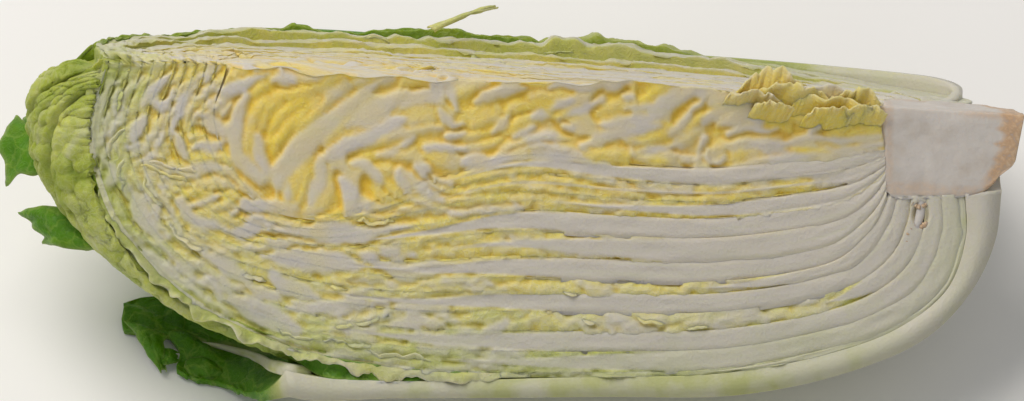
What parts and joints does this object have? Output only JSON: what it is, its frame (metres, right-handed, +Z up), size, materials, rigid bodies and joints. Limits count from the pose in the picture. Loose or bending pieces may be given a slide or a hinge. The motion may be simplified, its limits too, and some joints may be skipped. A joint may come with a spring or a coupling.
{
  "type": "napa cabbage quarter",
  "caption": "Lengthwise quarter of a napa cabbage lying on its rounded outside, with nested leaves, a crumpled yellow heart and the cut core.",
  "frame": {"origin": "middle of the small flat spot on the rounded outside that the quarter rests on", "axes": "+X along the head towards the stem end, +Z up, -Y the side that the front cut face looks to"},
  "size_m": [0.3114, 0.1436, 0.1003],
  "materials": {
    "core_flesh": "moist cut flesh",
    "heart_leaves": "crisp yellow leaf, moist where cut",
    "pale_leaves": "juicy white rib and pale yellow blade",
    "wrapper_leaf": "blistered light green leaf, slightly waxy",
    "loose_leaf": "dark green leaf with a pale rib, slightly waxy"
  },
  "bodies": {
    "root": {"core": "core_flesh", "heart": "heart_leaves", "leaf_01": "loose_leaf", "leaf_02": "wrapper_leaf", "leaf_03": "wrapper_leaf", "leaf_04": "pale_leaves", "leaf_05": "pale_leaves", "leaf_06": "pale_leaves", "leaf_07": "pale_leaves", "leaf_08": "pale_leaves", "leaf_09": "pale_leaves", "leaf_10": "pale_leaves", "leaf_11": "pale_leaves", "leaf_12": "pale_leaves", "leaf_13": "pale_leaves"}
  },
  "joints": []
}
